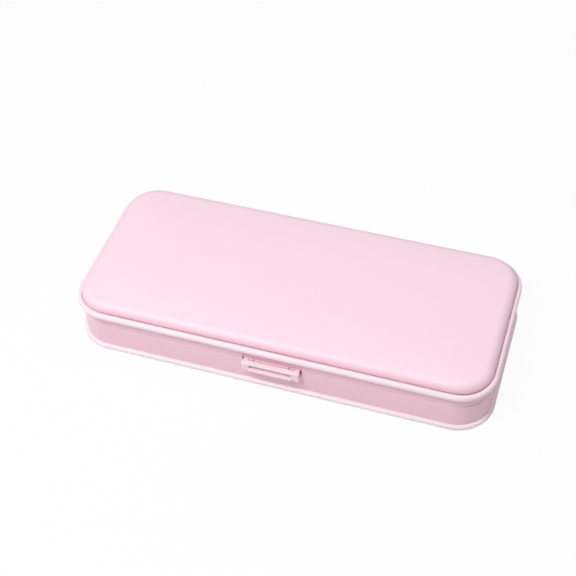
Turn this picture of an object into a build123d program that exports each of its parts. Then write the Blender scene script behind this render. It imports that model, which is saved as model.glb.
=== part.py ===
from build123d import *
import math
import os

# Pencil case with a padded lid, a front clasp and a hinge along the back.
# Millimetres. X runs along the case, -Y is the clasp side, +Z is up, and the
# origin is on the resting face, under the middle of the case.

# Outline, seen from above, measured over the two rims
case_length = 205.0
case_depth = 89.6
plan_corner_radius = 18.0

# Heights of the stacked parts, from the table up
base_rim_thickness = 2.5
wall_height = 13.45
skirt_height = 6.05
lid_rim_thickness = 2.3
pad_height = 6.1

# Wall section
rim_overhang = 1.8
wall_thickness = 1.8
base_edge_radius = 1.0
rim_top_radius = 1.5
rim_lower_radius = 0.3
parting_chamfer = 0.35

# Register lip on top of the walls, which keys into the lid's skirt
lip_thickness = 0.7
lip_height = 1.6
lip_side_clearance = 0.3
lip_top_clearance = 0.3

# Base plate and the sheet let into its underside
base_floor_thickness = 1.5
base_recess_inset = 4.0
base_sheet_thickness = 0.8
base_sheet_clearance = 0.3
locating_rib_height = 1.2
locating_rib_thickness = 1.0
locating_rib_clearance = 0.1

# Lid deck, which carries the pad, and the lining under it
lid_rim_width = 2.1
pad_groove_width = 0.4
deck_thickness = 1.4
pad_seat_depth = 0.45
seat_edge_radius = 0.25
lining_thickness = 0.5
lining_clearance = 0.3
deck_inner_radius = 0.8

# Padded crown: a film drawn over foam on a stiff board
film_thickness = 0.6
board_thickness = 1.0
pad_layer_gap = 0.12
pad_side_height = 1.5
pad_foot_draw = 0.2
pad_shoulder_width = 5.0
pad_shoulder_height = 3.6
pad_crown_width = 26.0
shoulder_turn = 80.0
shoulder_steps = 6
crown_steps = 3
crown_least_radius = 1.0

# Hinge: knuckles on short steel pins behind the back wall
hinge_end_distance = 41.5
knuckle_radius = 2.1
knuckle_width = 6.0
knuckle_gap = 0.3
knuckle_wall_clearance = 0.4
knuckle_web_thickness = 1.6
hinge_pin_radius = 0.8
hinge_running_clearance = 0.05
pin_seat_clearance = 0.01

# Clasp flap on the front, hung from the lid
clasp_width = 28.2
clasp_height = 5.1
clasp_thickness = 2.5
clasp_wall_gap = 0.35
clasp_top_gap = 0.1
clasp_corner_radius = 0.6
clasp_edge_radius = 0.5
clasp_back_chamfer = 0.3
clasp_left_room = 0.15
clasp_right_room = 0.7
window_width = 20.5
window_top_drop = 0.5
window_bottom_drop = 2.4
pull_width = 21.0
pull_height = 1.65
pull_depth = 0.8
pull_edge_radius = 0.45

# Clasp pivot, behind the face of the wall
clasp_axis_depth = 0.9
clasp_axis_drop = 0.85
clasp_pin_radius = 0.4
clasp_running_clearance = 0.05
ear_radius = 0.8
ear_width = 2.5
ear_web_rise = 2.4
ear_end_gap = 0.25
lug_radius = 0.75
lug_width = 1.9
lug_web_height = 0.6
lug_root_depth = 0.6
lug_end_wall = 0.5
clasp_pin_end_margin = 0.1

# Pockets in the front wall for the ears and lugs, and the boss behind them
pocket_depth_clearance = 0.3
pocket_height = 2.9
pocket_back_thickness = 1.0
pocket_inner_clearance = 0.5
boss_side_margin = 1.5

# Relief in the lid's skirt, as high as the skirt, that lets the flap swing out
relief_depth = 0.6

# Catch on the wall, which stands in the flap's window
catch_width = 15.8
catch_reach = 1.15
catch_bar_clearance = 0.2
catch_top_drop = 0.7

# Compartment tray that lies inside the walls
tray_inset = 5.1
tray_height = 12.8
tray_wall = 1.0
tray_floor = 1.0
tray_flange_thickness = 0.8
tray_flange_clearance = 0.3
tray_boss_clearance = 0.4
tray_floor_radius = 1.5
guide_rib_thickness = 1.0
guide_rib_reach = 3.4

# Upright divider between the pencils and the small things
divider_thickness = 1.2
divider_height = 9.8
divider_side_clearance = 0.3
front_bay_width = 24.0
small_bay_length = 57.7

# Grooved rests that keep the pencils apart
rest_end_distance = 33.5
rest_length = 8.0
rest_height = 5.0
rest_side_clearance = 0.5
pencil_groove_radius = 4.0
pencil_pitch = 8.3
pencil_count = 6
groove_depth = 3.0

# How far a cutting shape runs past the face it leaves through
cut_over = 1.0

# Levels and planes that several parts share
parting_z = base_rim_thickness + wall_height
rim_under_z = parting_z + skirt_height
rim_top_z = rim_under_z + lid_rim_thickness
deck_top_z = rim_top_z - pad_seat_depth
deck_under_z = deck_top_z - deck_thickness
wall_inset = rim_overhang
inner_inset = rim_overhang + wall_thickness
front_wall_y = -(case_depth / 2 - wall_inset)
back_wall_y = case_depth / 2 - wall_inset
pad_inset = lid_rim_width + pad_groove_width
tray_floor_z = base_rim_thickness + tray_floor
tray_top_z = base_rim_thickness + tray_height
tray_front_y = -(case_depth / 2 - tray_inset - tray_wall)
divider_y = tray_front_y + front_bay_width

tray_end_x = case_length / 2 - tray_inset - tray_wall
cross_x = tray_end_x - small_bay_length - divider_thickness
rest_x = case_length / 2 - rest_end_distance
hinge_x = case_length / 2 - hinge_end_distance

# Hinge axis, parallel to X
hinge_y = back_wall_y + knuckle_wall_clearance + knuckle_radius
hinge_z = parting_z

# Clasp axis, parallel to X
clasp_y = front_wall_y + clasp_axis_depth
clasp_z = parting_z - clasp_axis_drop
flap_back_y = front_wall_y - clasp_wall_gap
flap_front_y = flap_back_y - clasp_thickness
flap_top_z = parting_z - clasp_top_gap
flap_bottom_z = flap_top_z - clasp_height
window_bottom_z = clasp_z - window_bottom_drop
lug_outer_x = clasp_width / 2 - clasp_edge_radius
lug_inner_x = lug_outer_x - lug_width
ear_outer_x = lug_inner_x - ear_end_gap
ear_inner_x = ear_outer_x - ear_width
pocket_inner_x = ear_inner_x - pocket_inner_clearance
pocket_right_x = clasp_width / 2 + clasp_right_room
pocket_left_x = clasp_width / 2 + clasp_left_room
pocket_depth = clasp_axis_depth + lug_radius + pocket_depth_clearance
boss_half_width = max(pocket_left_x, pocket_right_x) + boss_side_margin
boss_inner_y = front_wall_y + pocket_depth + pocket_back_thickness


def slab(inset, low_z, high_z):
    """Flat plate with the case's outline, drawn in by an inset."""
    length = case_length - 2 * inset
    depth = case_depth - 2 * inset
    radius = plan_corner_radius - inset
    return extrude(Pos(0, 0, low_z) * RectangleRounded(length, depth, radius), amount=high_z - low_z)


def ring(outer_inset, inner_inset_value, low_z, high_z):
    """Closed band that follows the case's outline."""
    return slab(outer_inset, low_z, high_z) - slab(inner_inset_value, low_z, high_z)


def block(low_x, high_x, low_y, high_y, low_z, high_z):
    """Plain box between two corners."""
    size = (high_x - low_x, high_y - low_y, high_z - low_z)
    centre = ((low_x + high_x) / 2, (low_y + high_y) / 2, (low_z + high_z) / 2)
    return Pos(*centre) * Box(*size)


def rod(radius, low_x, high_x, centre_y, centre_z):
    """Round bar parallel to X."""
    middle = (low_x + high_x) / 2
    return Pos(middle, centre_y, centre_z) * Rot(0, 90, 0) * Cylinder(radius, high_x - low_x)


def both_sides(low_x, high_x):
    """The same stretch of X on the right and on the left."""
    return [(low_x, high_x), (-high_x, -low_x)]


def end_edges(solid, index):
    """Edges of a solid's lowest (0) or highest (-1) level."""
    return solid.edges().group_by(Axis.Z)[index]


def rounded_rim(low_z, high_z, low_radius, high_radius):
    """Plate with the full outline and a rounded outer edge."""
    plate = fillet(end_edges(slab(0, low_z, high_z), 0), low_radius)
    return fillet(end_edges(plate, -1), high_radius)


def base_plate():
    """Lower rim and floor in one moulding, with a shallow recess under it."""
    plate = rounded_rim(0, base_rim_thickness, base_edge_radius, base_edge_radius)
    plate -= slab(base_recess_inset, 0, base_rim_thickness - base_floor_thickness)
    rib_outer = inner_inset + locating_rib_clearance
    rib = ring(
        rib_outer,
        rib_outer + locating_rib_thickness,
        base_rim_thickness,
        base_rim_thickness + locating_rib_height,
    )
    return plate + (rib - boss_room(locating_rib_clearance))


def boss_room(clearance):
    """Space that the clasp boss needs inside the front wall."""
    half = boss_half_width + clearance
    high_z = parting_z + lip_height + lip_top_clearance
    return block(-half, half, front_wall_y, boss_inner_y + clearance, 0, high_z)


def base_sheet():
    """Soft sheet glued into the recess under the base."""
    inset = base_recess_inset + base_sheet_clearance
    high_z = base_rim_thickness - base_floor_thickness
    return slab(inset, high_z - base_sheet_thickness, high_z)


def catch_nose():
    """Wedge on the front wall: steep lead-in above, an arc about the clasp's pivot below."""
    bar_corner = math.hypot(clasp_axis_depth + clasp_wall_gap, window_bottom_drop)
    arc_radius = bar_corner - catch_bar_clearance
    root_s = clasp_axis_depth
    tip_s = clasp_axis_depth + catch_reach
    root_drop = math.sqrt(arc_radius ** 2 - root_s ** 2)
    tip_drop = math.sqrt(arc_radius ** 2 - tip_s ** 2)
    middle_s = (root_s + tip_s) / 2
    middle_drop = math.sqrt(arc_radius ** 2 - middle_s ** 2)
    embed_y = front_wall_y + wall_thickness / 2
    bottom = (clasp_y - root_s, clasp_z - root_drop)
    middle = (clasp_y - middle_s, clasp_z - middle_drop)
    tip = (clasp_y - tip_s, clasp_z - tip_drop)
    top = (clasp_y - root_s, clasp_z - catch_top_drop)
    profile = Polyline(tip, top, (embed_y, top[1]), (embed_y, bottom[1]), bottom)
    face = make_face(profile + ThreePointArc(bottom, middle, tip))
    nose = extrude(Plane.YZ * face, amount=catch_width / 2, both=True)
    return nose


def knuckle(low_x, high_x, side):
    """Hinge barrel with its web: side 1 carries it from the lid, -1 from the walls."""
    barrel = rod(knuckle_radius, low_x, high_x, hinge_y, hinge_z)
    near_z = hinge_z + side * (knuckle_radius - knuckle_web_thickness)
    far_z = hinge_z + side * knuckle_radius
    anchor_y = back_wall_y - wall_thickness / 2
    web = block(low_x, high_x, anchor_y, hinge_y, min(near_z, far_z), max(near_z, far_z))
    return barrel + web


def hinge_stretches(centre_x):
    """X ranges of one hinge's three knuckles: walls, lid, walls."""
    pitch = knuckle_width + knuckle_gap
    starts = [centre_x + pitch * step - knuckle_width / 2 for step in (-1, 0, 1)]
    return [(start, start + knuckle_width) for start in starts]


def case_walls():
    """Side walls in one moulding, with the lip, catch, pockets and hinge knuckles."""
    walls = slab(wall_inset, base_rim_thickness, parting_z)
    walls = chamfer(end_edges(walls, -1), parting_chamfer)
    walls -= slab(inner_inset, base_rim_thickness, parting_z)
    lip = ring(inner_inset - lip_thickness, inner_inset, parting_z, parting_z + lip_height)
    boss = block(
        -boss_half_width, boss_half_width, front_wall_y + wall_thickness / 2, boss_inner_y,
        base_rim_thickness, parting_z,
    )
    walls = walls + (lip - boss_room(lip_side_clearance)) + boss
    for low_x, high_x in [(pocket_inner_x, pocket_right_x), (-pocket_left_x, -pocket_inner_x)]:
        walls -= block(
            low_x, high_x, front_wall_y - cut_over, front_wall_y + pocket_depth,
            parting_z - pocket_height, parting_z + cut_over,
        )
    walls += catch_nose()
    for centre_x in (-hinge_x, hinge_x):
        stretches = hinge_stretches(centre_x)
        for low_x, high_x in (stretches[0], stretches[2]):
            walls += knuckle(low_x, high_x, -1)
        bore = hinge_pin_radius + pin_seat_clearance
        walls -= rod(bore, stretches[0][0] - cut_over, stretches[2][1] + cut_over, hinge_y, hinge_z)
    return walls


def clasp_ear(low_x, high_x):
    """Ear under the lid's skirt that holds one end of the flap."""
    barrel = rod(ear_radius, low_x, high_x, clasp_y, clasp_z)
    web_front_y = front_wall_y + relief_depth
    web_back_y = front_wall_y + wall_thickness
    web = block(low_x, high_x, web_front_y, web_back_y, clasp_z, parting_z + ear_web_rise)
    bore = rod(
        clasp_pin_radius + clasp_running_clearance, low_x - cut_over, high_x + cut_over, clasp_y, clasp_z
    )
    return barrel + web - bore


def seated_rim():
    """Lid's plate with its rounded rim and the shallow seat for the pad."""
    plate = rounded_rim(rim_under_z, rim_top_z, rim_lower_radius, rim_top_radius)
    plate -= slab(lid_rim_width, deck_top_z, rim_top_z + cut_over)
    top_face = plate.faces().sort_by(Axis.Z)[-1]
    return fillet(top_face.inner_wires()[0].edges(), seat_edge_radius)


def lid_frame():
    """Rim, deck and skirt of the lid, with the clasp's ears and the hinge knuckles."""
    lid = seated_rim()
    skirt = slab(wall_inset, parting_z, rim_under_z + lid_rim_thickness / 2)
    skirt = chamfer(end_edges(skirt, 0), parting_chamfer)
    lid += skirt
    hollow = slab(inner_inset, parting_z - cut_over, deck_under_z)
    lid -= fillet(end_edges(hollow, -1), deck_inner_radius)
    rebate_inset = inner_inset - lip_thickness - lip_side_clearance
    rebate = slab(rebate_inset, parting_z, parting_z + lip_height + lip_top_clearance)
    lid -= rebate - boss_room(0)
    lid -= block(
        -pocket_left_x, pocket_right_x, front_wall_y - cut_over, front_wall_y + relief_depth,
        parting_z - cut_over, rim_under_z,
    )
    for low_x, high_x in both_sides(ear_inner_x, ear_outer_x):
        lid += clasp_ear(low_x, high_x)
    for centre_x in (-hinge_x, hinge_x):
        low_x, high_x = hinge_stretches(centre_x)[1]
        lid += knuckle(low_x, high_x, 1)
        bore = hinge_pin_radius + hinge_running_clearance
        lid -= rod(bore, low_x - cut_over, high_x + cut_over, hinge_y, hinge_z)
    return lid


def lid_lining():
    """Thin sheet that lines the inside of the lid."""
    inset = inner_inset + deck_inner_radius + lining_clearance
    return slab(inset, deck_under_z - lining_thickness, deck_under_z)


def crown(inset, foot_z, shrink):
    """Padded form: drawn in at its foot, rounded shoulders, a low crown.

    shrink takes the same skin thickness off every side.
    """
    sections = []

    def add_section(extra_inset, height):
        edge = inset + shrink + extra_inset
        length = case_length - 2 * edge
        depth = case_depth - 2 * edge
        radius = max(plan_corner_radius - edge, crown_least_radius)
        sections.append(Pos(0, 0, height) * RectangleRounded(length, depth, radius))

    add_section(pad_foot_draw, foot_z)
    shoulder_z = deck_top_z + pad_side_height
    shoulder_rise = pad_shoulder_height - shrink
    for step in range(shoulder_steps + 1):
        turn = math.radians(shoulder_turn) * step / shoulder_steps
        add_section(
            pad_shoulder_width * (1 - math.cos(turn)),
            shoulder_z + shoulder_rise * math.sin(turn),
        )
    edge_width = pad_shoulder_width * (1 - math.cos(math.radians(shoulder_turn)))
    edge_z = shoulder_z + shoulder_rise * math.sin(math.radians(shoulder_turn))
    top_z = deck_top_z + pad_height - shrink
    for step in range(1, crown_steps + 1):
        share = step / crown_steps
        width = edge_width + (pad_crown_width - edge_width) * share
        add_section(width, edge_z + (top_z - edge_z) * (1 - (1 - share) ** 2))
    return loft(sections, ruled=True)


def pad_cover():
    """Film skin of the padded crown."""
    outer = crown(pad_inset, deck_top_z, 0)
    inner = crown(pad_inset, deck_top_z - film_thickness, film_thickness)
    return outer - inner


def pad_board():
    """Stiff board that the film is drawn round."""
    inset = pad_inset + pad_foot_draw + film_thickness + pad_layer_gap
    return slab(inset, deck_top_z, deck_top_z + board_thickness)


def pad_foam():
    """Foam between the board and the film."""
    foot_z = deck_top_z + board_thickness
    foam = crown(pad_inset, deck_top_z, film_thickness + pad_layer_gap)
    return foam - slab(0, deck_top_z - cut_over, foot_z)


def clasp_flap():
    """Flap with its window, finger pull and two pivot lugs."""
    half = clasp_width / 2
    flap = block(-half, half, flap_front_y, flap_back_y, flap_bottom_z, flap_top_z)
    flap = fillet(flap.edges().filter_by(Axis.Y), clasp_corner_radius)
    front = flap.faces().sort_by(Axis.Y)[0]
    flap = fillet(front.edges(), clasp_edge_radius)
    back = flap.faces().sort_by(Axis.Y)[-1]
    flap = chamfer(back.edges(), clasp_back_chamfer)
    window_half = window_width / 2
    flap -= block(
        -window_half, window_half, flap_front_y - cut_over, flap_back_y + cut_over,
        window_bottom_z, clasp_z - window_top_drop,
    )
    pull_half = pull_width / 2
    pull = block(
        -pull_half, pull_half, flap_front_y - pull_depth, flap_front_y + clasp_thickness / 2,
        window_bottom_z - pull_height, window_bottom_z,
    )
    pull_front = pull.faces().sort_by(Axis.Y)[0]
    pull = fillet(pull_front.edges().filter_by(Axis.X), pull_edge_radius)
    flap += pull
    for low_x, high_x in both_sides(lug_inner_x, lug_outer_x):
        lug = rod(lug_radius, low_x, high_x, clasp_y, clasp_z)
        half_web = lug_web_height / 2
        web = block(low_x, high_x, flap_back_y - lug_root_depth, clasp_y,
                    clasp_z - half_web, clasp_z + half_web)
        flap += lug + web
    for low_x, high_x in both_sides(lug_inner_x, lug_outer_x - lug_end_wall):
        flap -= rod(clasp_pin_radius + pin_seat_clearance, low_x, high_x, clasp_y, clasp_z)
    return flap


def clasp_pin(side):
    """Short pin through one ear into the flap's lug."""
    low_x = ear_inner_x + clasp_pin_end_margin
    high_x = lug_outer_x - lug_end_wall - clasp_pin_end_margin
    if side < 0:
        low_x, high_x = -high_x, -low_x
    return rod(clasp_pin_radius, low_x, high_x, clasp_y, clasp_z)


def hinge_pin(centre_x):
    """Steel pin of one hinge, flush with the outer knuckles."""
    stretches = hinge_stretches(centre_x)
    return rod(hinge_pin_radius, stretches[0][0], stretches[2][1], hinge_y, hinge_z)


def inner_tray():
    """Thin moulded tray with a flange that covers the gap to the walls."""
    tray = slab(tray_inset, base_rim_thickness, tray_top_z)
    hollow = slab(tray_inset + tray_wall, tray_floor_z, tray_top_z + cut_over)
    tray -= fillet(end_edges(hollow, 0), tray_floor_radius)
    flange_inset = inner_inset + tray_flange_clearance
    flange = ring(
        flange_inset, tray_inset + tray_wall / 2, tray_top_z - tray_flange_thickness, tray_top_z
    )
    flange -= boss_room(tray_boss_clearance)
    return tray + flange + guide_ribs()


def guide_ribs():
    """Two upright ribs at each end of the tray that hold the divider between them."""
    near_y = divider_y - divider_side_clearance
    far_y = divider_y + divider_thickness + divider_side_clearance
    ribs = []
    for low_x, high_x in both_sides(tray_end_x - guide_rib_reach, tray_end_x + tray_wall / 2):
        for low_y in (near_y - guide_rib_thickness, far_y):
            ribs.append(block(
                low_x, high_x, low_y, low_y + guide_rib_thickness,
                tray_floor_z - tray_floor / 2, tray_floor_z + divider_height,
            ))
    return ribs


def bay_divider():
    """Long upright wall with one cross wall, standing on the tray's floor."""
    half_length = tray_end_x - tray_floor_radius
    top_z = tray_floor_z + divider_height
    low_z = tray_floor_z
    far_y = divider_y + divider_thickness
    long_wall = block(-half_length, half_length, divider_y, far_y, low_z, top_z)
    cross_wall = block(
        cross_x, cross_x + divider_thickness,
        tray_front_y + tray_floor_radius, divider_y + divider_thickness / 2, low_z, top_z,
    )
    return long_wall + cross_wall


def pencil_rest(centre_x):
    """Low block across the pencil bay with a row of round grooves."""
    low_y = divider_y + divider_thickness + rest_side_clearance
    high_y = -tray_front_y - tray_floor_radius
    top_z = tray_floor_z + rest_height
    rest = block(
        centre_x - rest_length / 2, centre_x + rest_length / 2, low_y, high_y, tray_floor_z, top_z
    )
    middle_y = (low_y + high_y) / 2
    groove_z = top_z - groove_depth + pencil_groove_radius
    for number in range(pencil_count):
        groove_y = middle_y + pencil_pitch * (number - (pencil_count - 1) / 2)
        rest -= rod(
            pencil_groove_radius, centre_x - rest_length, centre_x + rest_length,
            groove_y, groove_z,
        )
    return rest


def build_parts():
    """All the pieces by name."""
    return {
        "base_plate": base_plate(),
        "base_sheet": base_sheet(),
        "case_walls": case_walls(),
        "inner_tray": inner_tray(),
        "bay_divider": bay_divider(),
        "pencil_rest_left": pencil_rest(-rest_x),
        "pencil_rest_right": pencil_rest(rest_x),
        "hinge_pin_left": hinge_pin(-hinge_x),
        "hinge_pin_right": hinge_pin(hinge_x),
        "lid_frame": lid_frame(),
        "lid_lining": lid_lining(),
        "pad_board": pad_board(),
        "pad_foam": pad_foam(),
        "pad_cover": pad_cover(),
        "clasp_flap": clasp_flap(),
        "clasp_pin_left": clasp_pin(-1),
        "clasp_pin_right": clasp_pin(1),
    }


os.makedirs("parts", exist_ok=True)
for node, shape in build_parts().items():
    export_step(shape, f"parts/{node}.step")
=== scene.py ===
"""Looks of a flat pencil case with a padded lid, a front clasp and a hinged back."""

import logging
import math
from dataclasses import dataclass, field
from enum import Enum
from typing import Any

import bmesh
import bpy
from mathutils import Matrix, Vector, noise


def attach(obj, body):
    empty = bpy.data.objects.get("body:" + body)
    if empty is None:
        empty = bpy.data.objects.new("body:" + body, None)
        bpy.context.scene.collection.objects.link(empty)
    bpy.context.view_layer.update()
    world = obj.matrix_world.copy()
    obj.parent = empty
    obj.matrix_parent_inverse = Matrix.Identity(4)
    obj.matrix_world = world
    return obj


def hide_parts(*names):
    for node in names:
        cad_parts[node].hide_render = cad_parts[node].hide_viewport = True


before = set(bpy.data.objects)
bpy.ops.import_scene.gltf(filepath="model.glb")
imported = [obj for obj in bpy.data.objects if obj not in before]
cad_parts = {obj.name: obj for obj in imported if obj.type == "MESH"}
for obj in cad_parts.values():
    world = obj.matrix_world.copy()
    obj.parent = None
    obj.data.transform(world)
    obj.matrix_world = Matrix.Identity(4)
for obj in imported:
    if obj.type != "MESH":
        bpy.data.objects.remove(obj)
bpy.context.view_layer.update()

log = logging.getLogger("pencil_case")
MM = 0.001
IMAGE_PIXELS = 576
SENSOR_MM = 36.0
EDGE_TOLERANCE = 0.01 * MM
MERGE_DISTANCE = 0.002 * MM
WHITE = (1.0, 1.0, 1.0, 1.0)
CASE_PINK = "#F8CFDD"
PLASTIC_IOR = 1.5
PINK_SCATTER = (1.0, 0.45, 0.55)


def srgb_to_linear(code: str) -> tuple[float, float, float, float]:
    """Turn a colour written as sRGB hex into the linear RGBA that a shader takes.

    Args:
        code: six hex digits, with or without a leading hash.

    Returns:
        Linear red, green, blue and an alpha of one.
    """
    digits = code.lstrip("#")
    levels = [int(digits[place:place + 2], 16) / 255 for place in (0, 2, 4)]
    linear = [v / 12.92 if v <= 0.04045 else ((v + 0.055) / 1.055) ** 2.4 for v in levels]
    return (linear[0], linear[1], linear[2], 1.0)


def add_node(tree: bpy.types.NodeTree, kind: str, settings: dict[str | int, Any] | None = None,
             links: dict[str | int, bpy.types.NodeSocket] | None = None) -> bpy.types.Node:
    """Add a shader node, set its fields and sockets, and link its inputs.

    Args:
        tree: the node tree that gets the node.
        kind: the node's Blender type name.
        settings: values by the name of a field, or by the name or number of an input.
        links: output sockets of other nodes, by the name or number of this node's input.

    Returns:
        The new node.
    """
    node = tree.nodes.new(kind)
    for key, value in (settings or {}).items():
        if isinstance(key, str) and hasattr(node, key):
            setattr(node, key, value)
        else:
            node.inputs[key].default_value = value
    for key, socket in (links or {}).items():
        tree.links.new(socket, node.inputs[key])
    return node


def new_material(name: str) -> tuple[bpy.types.Material, bpy.types.NodeTree]:
    """Make an empty node material.

    Args:
        name: the material's name.

    Returns:
        The material and its node tree.
    """
    material = bpy.data.materials.new(name)
    material.use_nodes = True
    material.node_tree.nodes.clear()
    return material, material.node_tree


def deselect_all() -> None:
    """Leave edit mode and select nothing."""
    if bpy.context.object and bpy.context.object.mode != "OBJECT":
        bpy.ops.object.mode_set(mode="OBJECT")
    bpy.ops.object.select_all(action="DESELECT")


def shade(colour: str, share: float) -> tuple[float, float, float, float]:
    """Make a colour a little lighter or darker.

    Args:
        colour: six sRGB hex digits.
        share: how much of the light is added, or taken off when negative.

    Returns:
        Linear RGBA.
    """
    red, green, blue, _ = srgb_to_linear(colour)
    return (min(1.0, red * (1 + share)), min(1.0, green * (1 + share)), min(1.0, blue * (1 + share)), 1.0)


@dataclass(frozen=True)
class MouldedPlastic:
    """ABS or polypropylene with pigment all through, straight from a satin mould.

    The colour is even to the core, edges catch a soft highlight, and the
    spark-eroded mould leaves a fine grain that widens each highlight a little.
    The real grain is about a tenth as coarse, which wouldn't show. Where rims
    run, a paler pink is mixed in over their stretch of height: painted light,
    standing in for the lamps' brightness on their tops and rounded edges.
    """

    name: str
    colour: str
    rim_painted_light_colour: str | None = None
    rim_from_mm: float = 0.0
    rim_to_mm: float = 0.0
    rim_blend_mm: float = 0.12
    roughness: float = 0.4
    roughness_spread: float = 0.04
    grain_mm: float = 0.5
    grain_height_mm: float = 0.004
    flow_mm: float = 42.0
    tint_shift: float = 0.012
    glow: float = 0.05
    glow_depth_mm: float = 1.5

    def build(self) -> bpy.types.Material:
        """Make the material.

        Returns:
            A node material that reads Object coordinates.
        """
        material, tree = new_material(self.name)
        place = add_node(tree, "ShaderNodeTexCoord")
        flow = add_node(tree, "ShaderNodeTexNoise", {"Scale": 1 / (self.flow_mm * MM), "Detail": 2.0},
                        {"Vector": place.outputs["Object"]})
        tint = add_node(tree, "ShaderNodeMix",
                        {"data_type": "RGBA", 6: shade(self.colour, -self.tint_shift),
                         7: shade(self.colour, self.tint_shift)},
                        {0: flow.outputs["Fac"]})
        colour = tint.outputs[2]
        # The paler pink over the rims' height is painted light for their lit tops and rounded edges.
        if self.rim_painted_light_colour is not None:
            colour = self._paint_rim_light(tree, place, colour)
        grain = add_node(tree, "ShaderNodeTexNoise", {"Scale": 1 / (self.grain_mm * MM), "Detail": 3.0},
                         {"Vector": place.outputs["Object"]})
        bump = add_node(tree, "ShaderNodeBump", {"Distance": self.grain_height_mm * MM, "Strength": 1.0},
                        {"Height": grain.outputs["Fac"]})
        rough = add_node(tree, "ShaderNodeMapRange",
                         {"To Min": self.roughness - self.roughness_spread,
                          "To Max": self.roughness + self.roughness_spread},
                         {"Value": flow.outputs["Fac"]})
        shader = add_node(tree, "ShaderNodeBsdfPrincipled",
                          {"IOR": PLASTIC_IOR, "Subsurface Weight": self.glow,
                           "Subsurface Scale": self.glow_depth_mm * MM, "Subsurface Radius": PINK_SCATTER},
                          {"Base Color": colour, "Roughness": rough.outputs["Result"],
                           "Normal": bump.outputs["Normal"]})
        add_node(tree, "ShaderNodeOutputMaterial", None, {"Surface": shader.outputs["BSDF"]})
        return material

    def _paint_rim_light(self, tree: bpy.types.NodeTree, place: bpy.types.Node,
                    plain: bpy.types.NodeSocket) -> bpy.types.NodeSocket:
        """Mix in a paler pink, painted light, over the stretch of height that the rim takes up.

        Args:
            tree: the material's node tree.
            place: its texture coordinates.
            plain: the colour of the rest of the moulding.

        Returns:
            The mixed colour.
        """
        height = add_node(tree, "ShaderNodeSeparateXYZ", None, {0: place.outputs["Object"]})
        middle = (self.rim_from_mm + self.rim_to_mm) / 2 * MM
        away = add_node(tree, "ShaderNodeMath", {"operation": "SUBTRACT", 1: middle},
                        {0: height.outputs["Z"]})
        far = add_node(tree, "ShaderNodeMath", {"operation": "ABSOLUTE"}, {0: away.outputs[0]})
        reach = (self.rim_to_mm - self.rim_from_mm) / 2 * MM
        within = add_node(tree, "ShaderNodeMapRange",
                          {"From Min": reach + self.rim_blend_mm * MM, "From Max": reach, "To Min": 0.0,
                           "To Max": 1.0},
                          {"Value": far.outputs[0]})
        mixed = add_node(tree, "ShaderNodeMix", {"data_type": "RGBA", 7: srgb_to_linear(self.rim_painted_light_colour)},
                         {0: within.outputs["Result"], 6: plain})
        return mixed.outputs[2]


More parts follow.
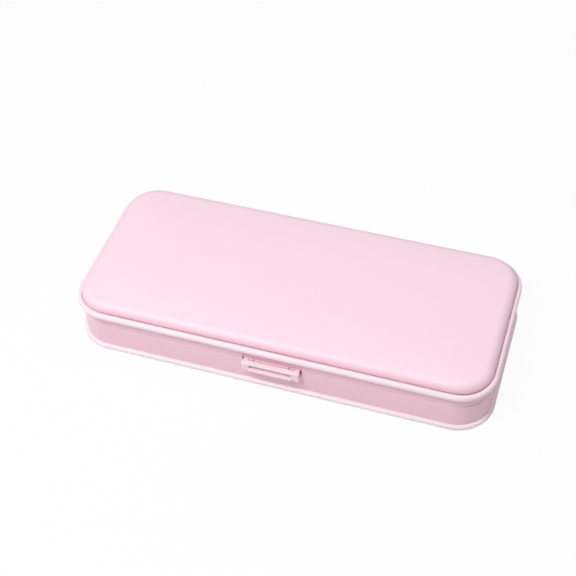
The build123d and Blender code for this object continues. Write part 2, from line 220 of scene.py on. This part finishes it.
@dataclass(frozen=True)
class PressedFilm:
    """Soft vinyl film with a kid-leather grain pressed into it.

    The pores are shallow and close together, so the film looks smooth and
    slightly satin, with a broad, soft highlight over each rounded edge. From
    its foot up over its shoulders a deeper pink is painted in: painted shade,
    where the film turns into the groove and away from the lamps.
    """

    name: str
    colour: str
    foot_painted_shade_colour: str | None = None
    foot_from_mm: float = 0.0
    foot_to_mm: float = 0.0
    roughness: float = 0.42
    top_smoother: float = 0.03
    crease_rougher: float = 0.05
    pore_mm: float = 0.45
    pore_depth_mm: float = 0.006
    drift_mm: float = 60.0
    tint_shift: float = 0.012
    glow: float = 0.06
    glow_depth_mm: float = 1.2

    def build(self) -> bpy.types.Material:
        """Make the material.

        Returns:
            A node material that reads Object coordinates.
        """
        material, tree = new_material(self.name)
        place = add_node(tree, "ShaderNodeTexCoord")
        drift = add_node(tree, "ShaderNodeTexNoise", {"Scale": 1 / (self.drift_mm * MM), "Detail": 1.5},
                         {"Vector": place.outputs["Object"]})
        tint = add_node(tree, "ShaderNodeMix",
                        {"data_type": "RGBA", 6: shade(self.colour, -self.tint_shift),
                         7: shade(self.colour, self.tint_shift)},
                        {0: drift.outputs["Fac"]})
        colour = tint.outputs[2]
        # The deeper pink near the foot is painted shade for the groove and the shoulders that turn from the
        # lamps.
        if self.foot_painted_shade_colour is not None:
            colour = self._paint_foot_shade(tree, place, colour)
        pores = add_node(tree, "ShaderNodeTexVoronoi",
                         {"feature": "SMOOTH_F1", "Scale": 1 / (self.pore_mm * MM), "Smoothness": 0.8},
                         {"Vector": place.outputs["Object"]})
        bump = add_node(tree, "ShaderNodeBump",
                        {"invert": True, "Distance": self.pore_depth_mm * MM, "Strength": 1.0},
                        {"Height": pores.outputs["Distance"]})
        rough = add_node(tree, "ShaderNodeMapRange",
                         {"To Min": self.roughness - self.top_smoother,
                          "To Max": self.roughness + self.crease_rougher},
                         {"Value": pores.outputs["Distance"]})
        shader = add_node(tree, "ShaderNodeBsdfPrincipled",
                          {"IOR": PLASTIC_IOR, "Subsurface Weight": self.glow,
                           "Subsurface Scale": self.glow_depth_mm * MM, "Subsurface Radius": PINK_SCATTER},
                          {"Base Color": colour, "Roughness": rough.outputs["Result"],
                           "Normal": bump.outputs["Normal"]})
        add_node(tree, "ShaderNodeOutputMaterial", None, {"Surface": shader.outputs["BSDF"]})
        return material

    def _paint_foot_shade(self, tree: bpy.types.NodeTree, place: bpy.types.Node,
                     plain: bpy.types.NodeSocket) -> bpy.types.NodeSocket:
        """Let the painted shade at the foot fade into the rest with height.

        Args:
            tree: the material's node tree.
            place: its texture coordinates.
            plain: the colour of the rest of the film.

        Returns:
            The mixed colour.
        """
        height = add_node(tree, "ShaderNodeSeparateXYZ", None, {0: place.outputs["Object"]})
        risen = add_node(tree, "ShaderNodeMapRange",
                         {"interpolation_type": "SMOOTHSTEP", "From Min": self.foot_from_mm * MM,
                          "From Max": self.foot_to_mm * MM},
                         {"Value": height.outputs["Z"]})
        mixed = add_node(tree, "ShaderNodeMix", {"data_type": "RGBA", 6: srgb_to_linear(self.foot_painted_shade_colour)},
                         {0: risen.outputs["Result"], 7: plain})
        return mixed.outputs[2]


@dataclass(frozen=True)
class DrawnSteel:
    """Bright steel wire, drawn through a die that leaves fine lines along it.

    The real lines are about a tenth as wide, which wouldn't show.
    """

    name: str
    colour: str
    roughness: float = 0.28
    groove_smoother: float = 0.06
    crest_rougher: float = 0.08
    line_length_mm: float = 6.0
    line_width_mm: float = 0.12
    line_depth_mm: float = 0.003

    def build(self) -> bpy.types.Material:
        """Make the material.

        Returns:
            A metal whose lines run along X, the way the pins lie.
        """
        material, tree = new_material(self.name)
        place = add_node(tree, "ShaderNodeTexCoord")
        across = 1 / (self.line_width_mm * MM)
        stretch = add_node(tree, "ShaderNodeMapping",
                           {"Scale": (1 / (self.line_length_mm * MM), across, across)},
                           {"Vector": place.outputs["Object"]})
        lines = add_node(tree, "ShaderNodeTexNoise", {"Scale": 1.0, "Detail": 2.0},
                         {"Vector": stretch.outputs["Vector"]})
        bump = add_node(tree, "ShaderNodeBump", {"Distance": self.line_depth_mm * MM, "Strength": 1.0},
                        {"Height": lines.outputs["Fac"]})
        rough = add_node(tree, "ShaderNodeMapRange",
                         {"To Min": self.roughness - self.groove_smoother,
                          "To Max": self.roughness + self.crest_rougher},
                         {"Value": lines.outputs["Fac"]})
        shader = add_node(tree, "ShaderNodeBsdfPrincipled",
                          {"Base Color": srgb_to_linear(self.colour), "Metallic": 1.0},
                          {"Roughness": rough.outputs["Result"], "Normal": bump.outputs["Normal"]})
        add_node(tree, "ShaderNodeOutputMaterial", None, {"Surface": shader.outputs["BSDF"]})
        return material


@dataclass(frozen=True)
class GreyBoard:
    """Recycled grey board: matt, with short flecks of darker and paler fibre."""

    name: str
    colour: str
    roughness: float = 0.85
    fibre_mm: float = 1.2
    fibre_height_mm: float = 0.02
    dark_flecks: float = -0.2
    pale_flecks: float = 0.15

    def build(self) -> bpy.types.Material:
        """Make the material.

        Returns:
            A matt node material that reads Object coordinates.
        """
        material, tree = new_material(self.name)
        place = add_node(tree, "ShaderNodeTexCoord")
        fibre = add_node(tree, "ShaderNodeTexNoise", {"Scale": 1 / (self.fibre_mm * MM), "Detail": 5.0},
                         {"Vector": place.outputs["Object"]})
        tint = add_node(tree, "ShaderNodeMix",
                        {"data_type": "RGBA", 6: shade(self.colour, self.dark_flecks),
                         7: shade(self.colour, self.pale_flecks)},
                        {0: fibre.outputs["Fac"]})
        bump = add_node(tree, "ShaderNodeBump", {"Distance": self.fibre_height_mm * MM, "Strength": 1.0},
                        {"Height": fibre.outputs["Fac"]})
        shader = add_node(tree, "ShaderNodeBsdfPrincipled", {"Roughness": self.roughness},
                          {"Base Color": tint.outputs[2], "Normal": bump.outputs["Normal"]})
        add_node(tree, "ShaderNodeOutputMaterial", None, {"Surface": shader.outputs["BSDF"]})
        return material


class Finish(Enum):
    """The finishes of the case, each with what it is made of and how."""

    CASE = MouldedPlastic("satin_moulded_abs_pink", CASE_PINK)
    # The base's paler rim pink is a painted highlight on its lit ledge.
    BASE = MouldedPlastic("satin_moulded_abs_base", CASE_PINK, rim_painted_light_colour="#F9E8EF", rim_from_mm=-0.5,
                          rim_to_mm=2.6)
    # The lid's paler rim pink is a painted highlight on its lit rim.
    LID = MouldedPlastic("satin_moulded_abs_lid", CASE_PINK, rim_painted_light_colour="#FAE4ED", rim_from_mm=21.9,
                         rim_to_mm=24.6, roughness=0.55)
    CLASP = MouldedPlastic("satin_moulded_pp_pink", "#FBE0E9", roughness=0.42)
    TRAY = MouldedPlastic("thin_moulded_pp_pale", "#F8E4EA", roughness=0.38, glow=0.1)
    # The pad's deeper foot pink is painted shade at its foot and shoulders.
    PAD = PressedFilm("pressed_vinyl_film_pink", "#FADBE8", roughness=0.5, foot_painted_shade_colour="#FAC6D6",
                      foot_from_mm=24.8, foot_to_mm=28.4)
    LINING = PressedFilm("pressed_vinyl_film_pale", "#F9E9EE", roughness=0.5, pore_mm=0.7)
    UNDERLAY = PressedFilm("foamed_vinyl_sheet_pink", "#F5CBD9", roughness=0.6, pore_mm=0.9,
                           pore_depth_mm=0.03)
    BOARD = GreyBoard("pressed_grey_board", "#A79F96")
    PIN = DrawnSteel("drawn_steel_wire", "#C9CBD0")


class Wardrobe:
    """Makes each finish once and hands it out."""

    def __init__(self) -> None:
        """Start with nothing made."""
        self._made: dict[Finish, bpy.types.Material] = {}

    def get(self, finish: Finish) -> bpy.types.Material:
        """Return the material of a finish, made on first use.

        Args:
            finish: what is asked for.

        Returns:
            Its material.
        """
        if finish not in self._made:
            self._made[finish] = finish.value.build()
        return self._made[finish]

    def dress(self, piece: bpy.types.Object, finish: Finish) -> None:
        """Give a piece one finish all over.

        Args:
            piece: a mesh object, a CAD node among them.
            finish: what it is made of.
        """
        piece.data.materials.clear()
        piece.data.materials.append(self.get(finish))


@dataclass(frozen=True)
class Outline:
    """Rounded rectangle that every layer of the case follows, measured over the rims."""

    length: float = 205.0 * MM
    depth: float = 89.6 * MM
    corner: float = 18.0 * MM
    corner_steps: int = 14

    def start(self, name: str, inset: float, height: float, side_step: float) -> bpy.types.Object:
        """Make a flat face with the outline, drawn in by an inset, and stay in edit mode.

        Args:
            name: name of the new piece.
            inset: how far inside the case's outline its edge runs.
            height: the face's height above the table.
            side_step: longest edge that is left on the straight sides.

        Returns:
            The new object, in edit mode, all selected.
        """
        deselect_all()
        bpy.ops.mesh.primitive_plane_add(size=1.0, location=(0.0, 0.0, height))
        piece = bpy.context.object
        piece.name = piece.data.name = name
        length, depth = self.length - 2 * inset, self.depth - 2 * inset
        bpy.ops.object.mode_set(mode="EDIT")
        bpy.ops.mesh.select_all(action="SELECT")
        bpy.ops.transform.resize(value=(length, depth, 1.0))
        bpy.ops.mesh.bevel(offset=self.corner - inset, segments=self.corner_steps, affect="VERTICES")
        for along in (0, 1):
            straight = (length, depth)[along] - 2 * (self.corner - inset)
            self._select_straight(piece, along, straight)
            bpy.ops.mesh.subdivide(number_cuts=max(0, math.ceil(straight / side_step) - 1))
        bpy.ops.mesh.select_mode(type="FACE")
        bpy.ops.mesh.select_all(action="SELECT")
        return piece

    @staticmethod
    def _select_straight(piece: bpy.types.Object, along: int, straight: float) -> None:
        """Select the two straight edges of one direction.

        Args:
            piece: the flat face, in edit mode.
            along: 0 for the edges along X, 1 for those along Y.
            straight: their length.
        """
        bpy.ops.mesh.select_mode(type="EDGE")
        bpy.ops.mesh.select_all(action="DESELECT")
        shape = bmesh.from_edit_mesh(piece.data)
        for edge in shape.edges:
            run = edge.verts[1].co - edge.verts[0].co
            as_long = abs(abs(run[along]) - straight) < EDGE_TOLERANCE
            edge.select_set(as_long and abs(run[1 - along]) < EDGE_TOLERANCE)
        bmesh.update_edit_mesh(piece.data)


def settle(piece: bpy.types.Object, smooth_angle: float | None = None) -> None:
    """Merge doubles, face everything outwards, and put the object's place into its mesh.

    Args:
        piece: a new piece, in edit mode or not.
        smooth_angle: edges flatter than this, in degrees, are shaded smooth; all are when it is None.
    """
    deselect_all()
    piece.select_set(True)
    bpy.context.view_layer.objects.active = piece
    bpy.ops.object.mode_set(mode="EDIT")
    bpy.ops.mesh.select_all(action="SELECT")
    bpy.ops.mesh.remove_doubles(threshold=MERGE_DISTANCE)
    bpy.ops.mesh.normals_make_consistent(inside=False)
    bpy.ops.object.mode_set(mode="OBJECT")
    bpy.ops.object.transform_apply(location=True, rotation=True, scale=True)
    if smooth_angle is None:
        bpy.ops.object.shade_smooth()
    else:
        bpy.ops.object.shade_smooth_by_angle(angle=math.radians(smooth_angle))
    deselect_all()


@dataclass
class PaddedTop:
    """Film drawn over foam on the lid: tucked in at its foot, full shoulders, a low crown.

    The shoulder's turn is in degrees.
    """

    outline: Outline
    inset: float = 2.18 * MM
    seat_z: float = 23.85 * MM
    foot_draw: float = 0.03 * MM
    side_height: float = 1.0 * MM
    shoulder_width: float = 5.2 * MM
    shoulder_height: float = 4.05 * MM
    shoulder_turn: float = 84.0
    shoulder_steps: int = 9
    crown_height: float = 6.1 * MM
    crown_width: float = 26.0 * MM
    crown_steps: int = 14
    middle_strip: float = 0.05
    side_step: float = 4.0 * MM
    unevenness: float = 0.05 * MM
    uneven_size: float = 38.0 * MM
    uneven_layer: float = 0.3
    pieces: list[bpy.types.Object] = field(default_factory=list)

    def build(self) -> None:
        """Model the padded form from its foot to the middle of its crown."""
        piece = self.outline.start("padded_crown", self.inset + self.foot_draw, self.seat_z, self.side_step)
        self._raise_side()
        width = self._round_shoulder()
        self._crown(width)
        settle(piece)
        self._let_foam_show(piece)
        rounder = piece.modifiers.new("soft_film", "SUBSURF")
        rounder.levels = rounder.render_levels = 1
        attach(piece, "lid")
        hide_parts("pad_cover", "pad_foam")
        self.pieces.append(piece)

    def _raise_side(self) -> None:
        """Bring the film out from its foot to its widest."""
        bpy.ops.mesh.extrude_region_move(TRANSFORM_OT_translate={"value": (0.0, 0.0, self.side_height)})
        length = self.outline.length - 2 * (self.inset + self.foot_draw)
        depth = self.outline.depth - 2 * (self.inset + self.foot_draw)
        bpy.ops.transform.resize(value=((length + 2 * self.foot_draw) / length,
                                        (depth + 2 * self.foot_draw) / depth, 1.0))

    def _round_shoulder(self) -> float:
        """Turn the film over the edge of the foam.

        Returns:
            How far inside the widest line the shoulder ends.
        """
        width = rise = 0.0
        for step in range(1, self.shoulder_steps + 1):
            turn = math.radians(self.shoulder_turn) * step / self.shoulder_steps
            next_width = self.shoulder_width * (1 - math.cos(turn))
            next_rise = self.shoulder_height * math.sin(turn)
            bpy.ops.mesh.inset(thickness=next_width - width, depth=0.0)
            bpy.ops.transform.translate(value=(0.0, 0.0, next_rise - rise))
            width, rise = next_width, next_rise
        return width

    def _crown(self, width: float) -> None:
        """Close the top with rings that shrink to a narrow strip along the middle.

        The crown rises as a parabola, and is level from its width inwards.

        Args:
            width: how far inside the widest line the crown starts.
        """
        half_length = self.outline.length / 2 - self.inset - width
        half_depth = self.outline.depth / 2 - self.inset - width
        start_rise = self.side_height + self.shoulder_height * math.sin(math.radians(self.shoulder_turn))
        run = self.crown_width - width
        scale_x, scale_y, height = 1.0, 1.0, 0.0
        for step in range(1, self.crown_steps + 1):
            left = 1.0 - (1.0 - self.middle_strip) * step / self.crown_steps
            next_x = left + (1 - left) * (half_length - half_depth) / half_length
            share = min(1.0, (1 - left) * half_depth / run)
            next_height = (self.crown_height - start_rise) * (1 - (1 - share) ** 2)
            bpy.ops.mesh.extrude_region_move(
                TRANSFORM_OT_translate={"value": (0.0, 0.0, next_height - height)})
            bpy.ops.transform.resize(value=(next_x / scale_x, left / scale_y, 1.0))
            scale_x, scale_y, height = next_x, left, next_height
        bpy.ops.mesh.quads_convert_to_tris(ngon_method="BEAUTY")

    def _let_foam_show(self, piece: bpy.types.Object) -> None:
        """Give the film the faint waves that foam has under it, none at its foot.

        Args:
            piece: the padded form, in object mode.
        """
        foot = self.seat_z + self.side_height
        full = self.seat_z + self.crown_height
        for vertex in piece.data.vertices:
            hold = max(0.0, min(1.0, (vertex.co.z - foot) / (full - foot)))
            spot = vertex.co / self.uneven_size
            vertex.co.z += self.unevenness * hold * noise.noise(Vector((spot.x, spot.y, self.uneven_layer)))

    def dress(self, wardrobe: Wardrobe) -> None:
        """Cover the pad with film, and give the board under it its finish.

        Args:
            wardrobe: hands out the materials.
        """
        for piece in self.pieces:
            wardrobe.dress(piece, Finish.PAD)
        wardrobe.dress(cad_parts["pad_board"], Finish.BOARD)


@dataclass
class LetInSheet:
    """Thin sheet glued into a shallow recess, with its cut edge softly rounded.

    Edges that turn by more than the sharp angle, in degrees, are shaded sharp.
    """

    outline: Outline
    name: str
    node: str
    body: str
    material_slot: str
    finish: Finish
    inset: float
    low_z: float
    thickness: float
    side_step: float = 12.0 * MM
    edge_radius: float = 0.15 * MM
    edge_steps: int = 3
    sharp_angle: float = 30.0
    pieces: list[bpy.types.Object] = field(default_factory=list)

    def build(self) -> None:
        """Cut the sheet to the outline, give it its thickness and round its edge."""
        piece = self.outline.start(self.name, self.inset, self.low_z, self.side_step)
        bpy.ops.mesh.extrude_region_move(TRANSFORM_OT_translate={"value": (0.0, 0.0, self.thickness)})
        settle(piece, self.sharp_angle)
        edge = piece.modifiers.new("soft_edge", "BEVEL")
        edge.width, edge.segments, edge.limit_method = self.edge_radius, self.edge_steps, "ANGLE"
        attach(piece, self.body)
        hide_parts(self.node)
        self.pieces.append(piece)

    def dress(self, wardrobe: Wardrobe) -> None:
        """Give the sheet its finish."""
        for piece in self.pieces:
            wardrobe.dress(piece, self.finish)


@dataclass
class MouldedSet:
    """CAD pieces that keep their shape and share one finish."""

    name: str
    finish: Finish
    nodes: tuple[str, ...]
    pieces: list[bpy.types.Object] = field(default_factory=list)

    def build(self) -> None:
        """Look the pieces up in the frame."""
        self.pieces = [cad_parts[node] for node in self.nodes]

    def dress(self, wardrobe: Wardrobe) -> None:
        """Give each piece the finish."""
        for piece in self.pieces:
            wardrobe.dress(piece, self.finish)


@dataclass(frozen=True)
class Softbox:
    """Square soft lamp. Its place, aim and side are in metres, its power in watts."""

    name: str
    place: tuple[float, float, float]
    aim: tuple[float, float, float]
    side: float
    power: float

    def hang(self) -> None:
        """Hang the lamp at its place and turn it to the point that it lights."""
        data = bpy.data.lights.new(self.name, "AREA")
        data.shape, data.size, data.energy = "SQUARE", self.side, self.power
        lamp = bpy.data.objects.new(self.name, data)
        bpy.context.scene.collection.objects.link(lamp)
        lamp.location = self.place
        lamp.rotation_mode = "QUATERNION"
        lamp.rotation_quaternion = (Vector(self.aim) - Vector(self.place)).to_track_quat("-Z", "Y")


@dataclass
class Studio:
    """White table, soft lamps and a camera at the angle of the photograph.

    Azimuth, elevation and roll are in degrees. The centre is the pixel where the
    frame's origin shows.
    """

    focal_pixels: float = 1209.1
    azimuth: float = 19.987
    elevation: float = 47.894
    roll: float = -2.876
    distance: float = 598.4 * MM
    centre_x: float = 300.07
    centre_y: float = 318.97
    fill: float = 0.22
    table_side: float = 8.0
    table_grey: float = 0.86
    table_white_share: float = 0.93

    def build(self) -> None:
        """Set up the view settings, world, table, lamps and camera."""
        bpy.context.scene.view_settings.view_transform = "Standard"
        self._world()
        self._table()
        self._lamps()
        self._camera()

    def _world(self) -> None:
        """Light the room evenly, and show white where nothing stands."""
        world = bpy.data.worlds.new("white_room")
        world.use_nodes = True
        tree = world.node_tree
        tree.nodes.clear()
        rays = add_node(tree, "ShaderNodeLightPath")
        room = add_node(tree, "ShaderNodeBackground", {"Color": WHITE, "Strength": self.fill})
        seen = add_node(tree, "ShaderNodeBackground", {"Color": WHITE, "Strength": 1.0})
        mix = add_node(tree, "ShaderNodeMixShader", None,
                       {0: rays.outputs["Is Camera Ray"], 1: room.outputs[0], 2: seen.outputs[0]})
        add_node(tree, "ShaderNodeOutputWorld", None, {"Surface": mix.outputs[0]})
        bpy.context.scene.world = world

    def _table(self) -> None:
        """Lay a white table that keeps a faint shadow."""
        deselect_all()
        bpy.ops.mesh.primitive_plane_add(size=self.table_side, location=(0.0, 0.0, 0.0))
        table = bpy.context.object
        table.name = table.data.name = "table_top"
        material, tree = new_material("white_table_paint")
        rays = add_node(tree, "ShaderNodeLightPath")
        share = add_node(tree, "ShaderNodeMath", {"operation": "MULTIPLY", 1: self.table_white_share},
                         {0: rays.outputs["Is Camera Ray"]})
        grey = (self.table_grey, self.table_grey, self.table_grey, 1.0)
        paint = add_node(tree, "ShaderNodeBsdfDiffuse", {"Color": grey})
        glow = add_node(tree, "ShaderNodeEmission", {"Color": WHITE, "Strength": 1.0})
        mix = add_node(tree, "ShaderNodeMixShader", None,
                       {0: share.outputs[0], 1: paint.outputs[0], 2: glow.outputs[0]})
        add_node(tree, "ShaderNodeOutputMaterial", None, {"Surface": mix.outputs[0]})
        table.data.materials.append(material)
        deselect_all()

    def _lamps(self) -> None:
        """Hang the main lamp high in front, a wide one behind on the right and a weak one at the left."""
        middle = (0.0, 0.0, 0.0)
        Softbox("front_softbox", (-0.28, -0.42, 0.88), middle, side=0.26, power=6.48).hang()
        Softbox("right_back_softbox", (0.38, 0.28, 0.86), middle, side=0.7, power=2.7).hang()
        Softbox("left_softbox", (-0.75, -0.05, 0.45), (-0.05, 0.0, 0.02), side=0.45, power=0.72).hang()

    def _camera(self) -> None:
        """Put the camera at the photograph's angle and framing."""
        turn, lift, lean = (math.radians(a) for a in (self.azimuth, self.elevation, self.roll))
        back = Vector((math.sin(turn) * math.cos(lift), -math.cos(turn) * math.cos(lift), math.sin(lift)))
        flat_right = Vector((0.0, 0.0, 1.0)).cross(back).normalized()
        flat_up = back.cross(flat_right)
        right = flat_right * math.cos(lean) + flat_up * math.sin(lean)
        up = flat_up * math.cos(lean) - flat_right * math.sin(lean)
        middle = IMAGE_PIXELS / 2
        metres_per_pixel = self.distance / self.focal_pixels
        slide_x = (self.centre_x - middle) * metres_per_pixel
        slide_y = -(self.centre_y - middle) * metres_per_pixel
        data = bpy.data.cameras.new("camera")
        data.sensor_width = SENSOR_MM
        data.lens = self.focal_pixels * SENSOR_MM / IMAGE_PIXELS
        data.clip_start, data.clip_end = 0.01, 50.0
        camera = bpy.data.objects.new("camera", data)
        bpy.context.scene.collection.objects.link(camera)
        turned = Matrix((right, up, back)).transposed().to_4x4()
        stand = back * self.distance - right * slide_x - up * slide_y
        camera.matrix_world = Matrix.Translation(stand) @ turned
        bpy.context.scene.camera = camera


def main() -> None:
    """Build the pieces in order, dress them and set up the studio."""
    logging.basicConfig(level=logging.INFO, format="%(name)s: %(message)s")
    outline = Outline()
    wardrobe = Wardrobe()
    parts: list[MouldedSet | LetInSheet | PaddedTop] = [
        MouldedSet("walls", Finish.CASE, ("case_walls",)),
        MouldedSet("base", Finish.BASE, ("base_plate",)),
        MouldedSet("lid", Finish.LID, ("lid_frame",)),
        MouldedSet("clasp", Finish.CLASP, ("clasp_flap",)),
        MouldedSet("inside", Finish.TRAY,
                   ("inner_tray", "bay_divider", "pencil_rest_left", "pencil_rest_right")),
        MouldedSet("pins", Finish.PIN,
                   ("hinge_pin_left", "hinge_pin_right", "clasp_pin_left", "clasp_pin_right")),
        LetInSheet(outline, name="base_underlay", node="base_sheet", body="case", material_slot="base_film",
                   finish=Finish.UNDERLAY, inset=4.3 * MM, low_z=0.2 * MM, thickness=0.8 * MM),
        LetInSheet(outline, name="lid_inner_lining", node="lid_lining", body="lid",
                   material_slot="lining_film", finish=Finish.LINING, inset=4.7 * MM, low_z=21.95 * MM,
                   thickness=0.5 * MM),
        PaddedTop(outline),
    ]
    for part in parts:
        part.build()
        part.dress(wardrobe)
        for piece in part.pieces:
            log.info("%s: %s, %d faces", type(part).__name__, piece.name, len(piece.data.polygons))
    Studio().build()


if __name__ == "__main__":
    main()
